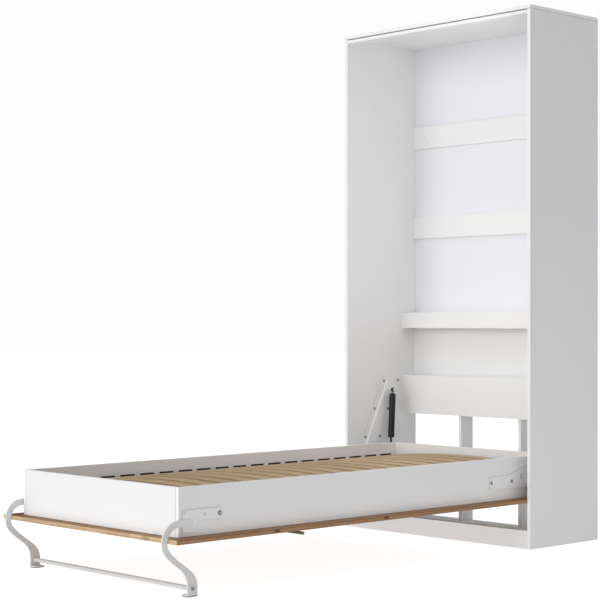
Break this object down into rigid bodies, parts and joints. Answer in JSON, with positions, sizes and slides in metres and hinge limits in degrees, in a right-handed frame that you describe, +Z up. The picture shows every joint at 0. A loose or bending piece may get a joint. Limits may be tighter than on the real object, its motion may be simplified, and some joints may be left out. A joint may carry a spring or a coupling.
{
  "type": "vertical wall bed",
  "caption": "Vertical wall bed: a tall open-front white cabinet with a slatted bed box that folds down, an oak-look front panel, gas springs and a swept steel foot leg.",
  "frame": {"origin": "on the floor, under the middle of the open bed's bounding box", "axes": "+Z up, +Y towards the wall behind the cabinet, so the foot of the open bed points to -Y; +X to the right seen from the foot"},
  "size_m": [1.08, 2.3186, 2.235],
  "materials": {
    "white_board": "matt white melamine-faced chipboard with white edge bands",
    "thin_back": "smooth white lacquered fibreboard",
    "oak_board": "knotty oak decor on chipboard, matt with fine grain",
    "birch": "pressed birch veneer, clear matt",
    "coated_steel": "light grey powder coat, fine texture",
    "screw_steel": "zinc-plated steel, slightly dull",
    "handle_metal": "satin steel tube",
    "black_paint": "semi-gloss black paint",
    "rod_steel": "smooth black nitrided steel",
    "black_plastic": "moulded black plastic, matt",
    "grey_plastic": "moulded light grey plastic, matt"
  },
  "bodies": {
    "cabinet": {"side_panel_left": "white_board", "side_panel_right": "white_board", "top_board": "white_board", "top_front_rail": "white_board", "bottom_board": "white_board", "plinth_front": "white_board", "back_panel": "thin_back", "back_board": "white_board", "rear_rail_upper": "white_board", "rear_rail_middle": "white_board", "head_shelf": "white_board", "shelf_apron": "white_board", "head_cross_board": "white_board", "divider_left": "white_board", "divider_right": "white_board", "cabinet_hinge_plate_left": "coated_steel", "cabinet_hinge_plate_right": "coated_steel", "hinge_pin_left": "screw_steel", "hinge_pin_right": "screw_steel", "upper_spring_studs": "coated_steel", "cabinet_plate_screws": "screw_steel", "cam_locks": "screw_steel"},
    "bed": {"side_rail_left": "white_board", "side_rail_right": "white_board", "foot_board": "white_board", "head_board": "white_board", "front_panel": "oak_board", "slat_ledger_left": "birch", "slat_ledger_right": "birch", "slat_caps": "black_plastic", "slats_1": "birch", "slats_2": "birch", "slats_3": "birch", "slats_4": "birch", "slats_5": "birch", "bed_hinge_plate_left": "coated_steel", "bed_hinge_plate_right": "coated_steel", "hinge_bush_left": "black_plastic", "hinge_bush_right": "black_plastic", "lower_spring_studs": "screw_steel", "leg_bracket_left": "coated_steel", "leg_bracket_right": "coated_steel", "leg_arm_left": "coated_steel", "leg_arm_right": "coated_steel", "leg_crossbar": "coated_steel", "leg_pads": "grey_plastic", "handle_left": "handle_metal", "handle_right": "handle_metal", "bed_plate_screws": "screw_steel", "leg_bracket_screws": "coated_steel", "crossbar_bolts": "screw_steel", "handle_screws": "screw_steel"},
    "spring_cylinder_left": {"gas_cylinder_left": "black_paint"},
    "spring_cylinder_right": {"gas_cylinder_right": "black_paint"},
    "spring_rod_left": {"gas_rod_left": "rod_steel", "rod_end_left": "black_paint"},
    "spring_rod_right": {"gas_rod_right": "rod_steel", "rod_end_right": "black_paint"}
  },
  "joints": [
    {"name": "bed_fold", "type": "hinge", "parent": "cabinet", "child": "bed", "pos_m": [0, 0.77225, 0.261], "axis": [-1, 0, 0], "range_deg": [0, 90]},
    {"name": "spring_swing_left", "type": "hinge", "parent": "cabinet", "child": "spring_cylinder_left", "pos_m": [-0.488, 0.96125, 0.618], "axis": [-1, 0, 0], "range_deg": [0, 20.34]},
    {"name": "spring_stroke_left", "type": "slide", "parent": "spring_cylinder_left", "child": "spring_rod_left", "axis": [0, -0.0532, -0.9986], "range_m": [0, 0.1772]},
    {"name": "spring_swing_right", "type": "hinge", "parent": "cabinet", "child": "spring_cylinder_right", "pos_m": [0.488, 0.96125, 0.618], "axis": [-1, 0, 0], "range_deg": [0, 20.34]},
    {"name": "spring_stroke_right", "type": "slide", "parent": "spring_cylinder_right", "child": "spring_rod_right", "axis": [0, -0.0532, -0.9986], "range_m": [0, 0.1772]}
  ],
  "couplings": [
    {"joint": "spring_swing_left", "follows": "bed_fold", "ratio": 0.22489},
    {"joint": "spring_stroke_left", "follows": "bed_fold", "m_per_rad": 0.11269},
    {"joint": "spring_swing_right", "follows": "bed_fold", "ratio": 0.22489},
    {"joint": "spring_stroke_right", "follows": "bed_fold", "m_per_rad": 0.11269}
  ]
}
